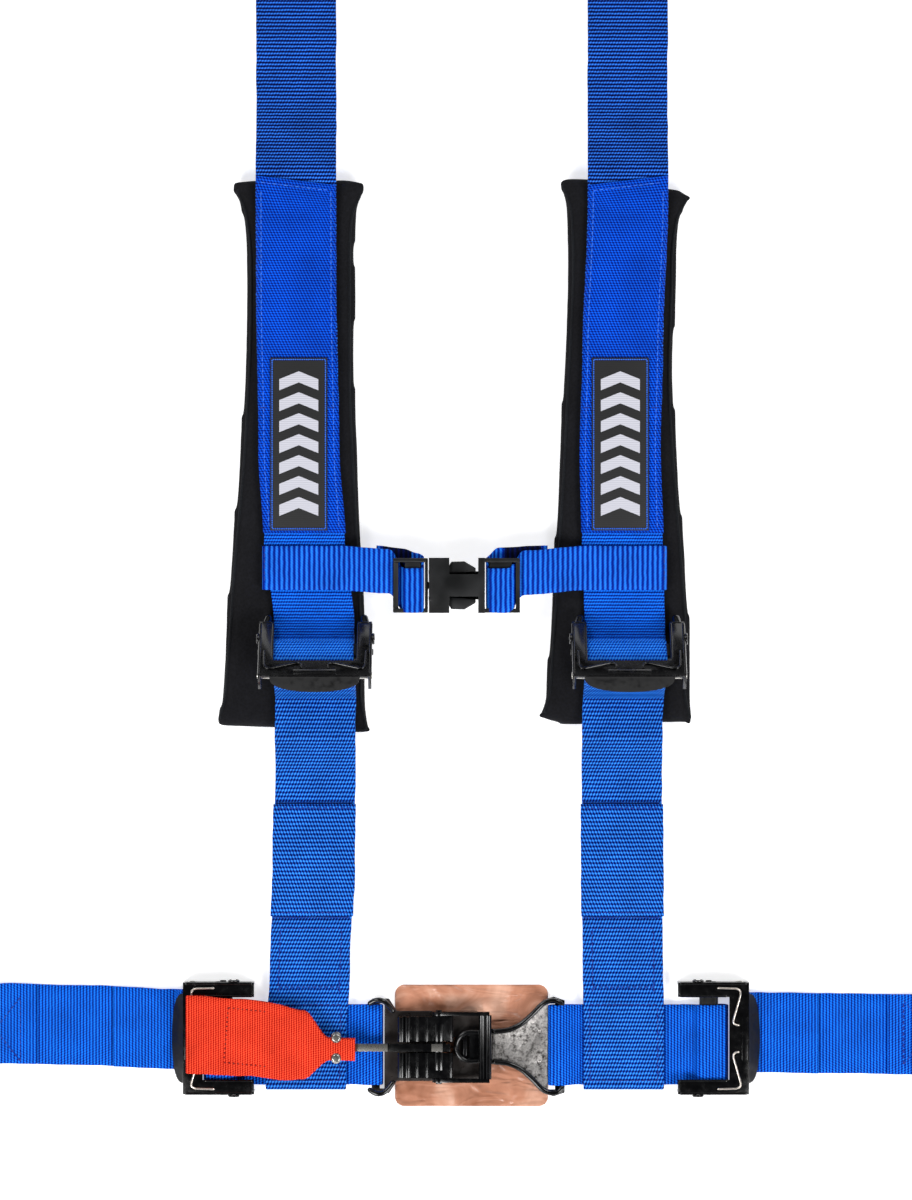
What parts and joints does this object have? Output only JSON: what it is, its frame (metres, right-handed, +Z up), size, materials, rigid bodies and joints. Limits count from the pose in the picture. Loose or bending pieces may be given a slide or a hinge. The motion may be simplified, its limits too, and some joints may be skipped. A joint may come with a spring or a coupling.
{
  "type": "racing harness",
  "caption": "Four-point racing harness: padded shoulder straps, lap belt with a lever latch and link, sliding-bar adjusters, a sternum strap and bolt-in anchor plates.",
  "frame": {"origin": "centre of the laid-out harness's footprint, on the surface it lies on", "axes": "+X along the lap belt towards the link side, +Y up the shoulder straps, +Z up from the surface"},
  "size_m": [0.802, 0.846, 0.0551],
  "materials": {
    "webbing_blue": "ribbed polyester webbing",
    "webbing_red": "ribbed polyester webbing",
    "cover_weave": "fine woven nylon",
    "pad_fabric": "matte woven nylon",
    "pad_foam": "foam",
    "label_fabric": "woven label",
    "buckle_plastic": "moulded acetal",
    "black_steel": "gloss black coating",
    "bare_steel": "worn bare steel",
    "spring_wire": "drawn wire",
    "clear_sheet": "smoked brown film"
  },
  "bodies": {
    "harness": {"shoulder_strap_left": "webbing_blue", "shoulder_strap_right": "webbing_blue", "pad_cover_left": "pad_fabric", "pad_cover_right": "pad_fabric", "pad_core_left": "pad_foam", "pad_core_right": "pad_foam", "cover_panel_left": "cover_weave", "cover_panel_right": "cover_weave", "label_patch_left": "label_fabric", "label_patch_right": "label_fabric", "lower_strap_left": "webbing_blue", "lower_strap_right": "webbing_blue", "keeper_sleeve_left": "webbing_blue", "keeper_sleeve_right": "webbing_blue", "lap_inner_strap_left": "webbing_blue", "lap_inner_strap_right": "webbing_blue", "lap_anchor_strap_left": "webbing_blue", "lap_anchor_strap_right": "webbing_blue", "lap_frame_left": "black_steel", "lap_frame_right": "black_steel", "lap_rod_left": "bare_steel", "lap_rod_right": "bare_steel", "lap_springs_left": "spring_wire", "lap_springs_right": "spring_wire", "shoulder_frame_left": "black_steel", "shoulder_frame_right": "black_steel", "shoulder_rod_left": "bare_steel", "shoulder_rod_right": "bare_steel", "shoulder_springs_left": "spring_wire", "shoulder_springs_right": "spring_wire", "latch_plate": "black_steel", "latch_body": "black_steel", "latch_hook": "bare_steel", "latch_ears": "black_steel", "lever_pin": "bare_steel", "buckle_sheet": "clear_sheet"},
    "sternum": {"sternum_strap_left": "webbing_blue", "sternum_strap_right": "webbing_blue", "sternum_socket": "buckle_plastic", "sternum_plug": "buckle_plastic"},
    "prong_upper": {"sternum_prong_upper": "buckle_plastic"},
    "prong_lower": {"sternum_prong_lower": "buckle_plastic"},
    "lever_arm": {"lever": "bare_steel", "pull_tab": "webbing_red", "tab_rivets": "spring_wire"},
    "keeper_bail": {"keeper": "black_steel"},
    "link_plate": {"link": "bare_steel"},
    "lap_bar_left": {"lap_slide_left": "black_steel"},
    "shoulder_bar_left": {"shoulder_slide_left": "black_steel"},
    "lap_plate_left": {"lap_anchor_left": "black_steel"},
    "shoulder_plate_left": {"shoulder_anchor_left": "black_steel"},
    "lap_bar_right": {"lap_slide_right": "black_steel"},
    "shoulder_bar_right": {"shoulder_slide_right": "black_steel"},
    "lap_plate_right": {"lap_anchor_right": "black_steel"},
    "shoulder_plate_right": {"shoulder_anchor_right": "black_steel"}
  },
  "joints": [
    {"name": "sternum_slide", "type": "slide", "parent": "harness", "child": "sternum", "axis": [0, 1, 0], "range_m": [-0.005, 0.005]},
    {"name": "prong_upper_press", "type": "hinge", "parent": "sternum", "child": "prong_upper", "pos_m": [-0.0211, -0.0844, 0.02165], "axis": [0, 0, -1], "range_deg": [0, 6], "stiffness_Nm_per_rad": 1.5},
    {"name": "prong_lower_press", "type": "hinge", "parent": "sternum", "child": "prong_lower", "pos_m": [-0.0211, -0.1008, 0.02165], "axis": [0, 0, 1], "range_deg": [0, 6], "stiffness_Nm_per_rad": 1.5},
    {"name": "lever_lift", "type": "hinge", "parent": "harness", "child": "lever_arm", "pos_m": [-0.0146, -0.3845, 0.01], "axis": [0, 1, 0], "range_deg": [0, 70]},
    {"name": "keeper_lift", "type": "hinge", "parent": "harness", "child": "keeper_bail", "pos_m": [-0.0146, -0.3845, 0.01], "axis": [0, -1, 0], "range_deg": [0, 70]},
    {"name": "link_lift", "type": "hinge", "parent": "harness", "child": "link_plate", "pos_m": [0.06195, -0.3845, 0.0076], "axis": [0, 1, 0], "range_deg": [0, 20]},
    {"name": "lap_bar_left_slide", "type": "slide", "parent": "harness", "child": "lap_bar_left", "axis": [-1, 0, 0], "range_m": [0, 0.0025], "stiffness_N_per_m": 500},
    {"name": "shoulder_bar_left_slide", "type": "slide", "parent": "harness", "child": "shoulder_bar_left", "axis": [0, -0.7431, 0.6691], "range_m": [0, 0.0025], "stiffness_N_per_m": 500},
    {"name": "lap_plate_left_swing", "type": "hinge", "parent": "harness", "child": "lap_plate_left", "pos_m": [-0.33, -0.374, 0.00419], "axis": [0, 1, 0], "range_deg": [0, 80]},
    {"name": "shoulder_plate_left_swing", "type": "hinge", "parent": "harness", "child": "shoulder_plate_left", "pos_m": [-0.098, 0.352, 0.00419], "axis": [1, 0, 0], "range_deg": [0, 80]},
    {"name": "lap_bar_right_slide", "type": "slide", "parent": "harness", "child": "lap_bar_right", "axis": [1, 0, 0], "range_m": [0, 0.0025], "stiffness_N_per_m": 500},
    {"name": "shoulder_bar_right_slide", "type": "slide", "parent": "harness", "child": "shoulder_bar_right", "axis": [0, -0.7431, 0.6691], "range_m": [0, 0.0025], "stiffness_N_per_m": 500},
    {"name": "lap_plate_right_swing", "type": "hinge", "parent": "harness", "child": "lap_plate_right", "pos_m": [0.33, -0.376, 0.00419], "axis": [0, -1, 0], "range_deg": [0, 80]},
    {"name": "shoulder_plate_right_swing", "type": "hinge", "parent": "harness", "child": "shoulder_plate_right", "pos_m": [0.101, 0.352, 0.00419], "axis": [1, 0, 0], "range_deg": [0, 80]}
  ],
  "couplings": [
    {"joint": "keeper_lift", "follows": "lever_lift", "ratio": 1},
    {"joint": "link_lift", "follows": "lever_lift", "ratio": 0.28571}
  ]
}
